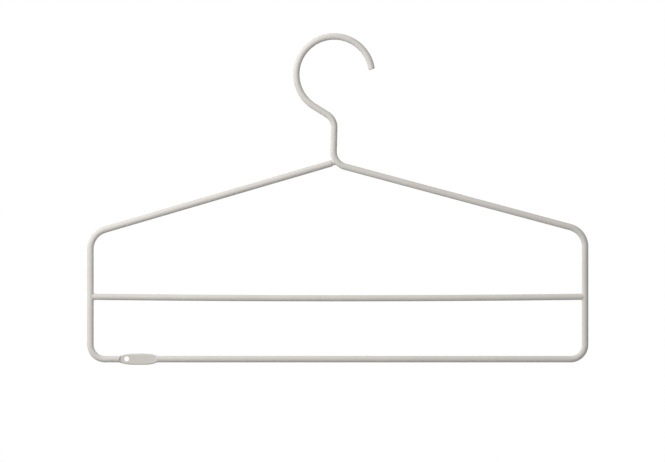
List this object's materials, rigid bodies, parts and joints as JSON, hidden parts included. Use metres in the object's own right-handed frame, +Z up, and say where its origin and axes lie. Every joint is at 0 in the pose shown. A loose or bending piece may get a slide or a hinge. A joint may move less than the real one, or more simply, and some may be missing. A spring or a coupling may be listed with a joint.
{
  "type": "trouser hanger",
  "caption": "Flat bent-rod clothes hanger with an open hook, sloping shoulders, a closed frame and a welded bar across it for folded trousers.",
  "frame": {"origin": "the highest point of the hook's inside, where the hanger sits on its rail, in the rods' middle plane", "axes": "+X along the frame to the right seen from the front, +Y to the back through the hanger's thickness, +Z up"},
  "size_m": [0.4, 0.0052, 0.2646],
  "materials": {
    "coated_rod": "steel rod under a satin, fine-grained powder coat in warm light grey",
    "coated_tag": "pressed steel under the same powder coat, with soft edges",
    "coated_weld": "small smooth weld under the same powder coat"
  },
  "bodies": {
    "root": {"hook": "coated_rod", "neck": "coated_rod", "right_shoulder": "coated_rod", "right_shoulder_corner": "coated_rod", "right_side": "coated_rod", "bottom_bar": "coated_rod", "tag": "coated_tag", "left_side": "coated_rod", "left_shoulder_corner": "coated_rod", "left_shoulder": "coated_rod", "neck_weld": "coated_weld", "trouser_bar": "coated_rod", "left_bar_weld": "coated_weld", "right_bar_weld": "coated_weld"}
  },
  "joints": []
}
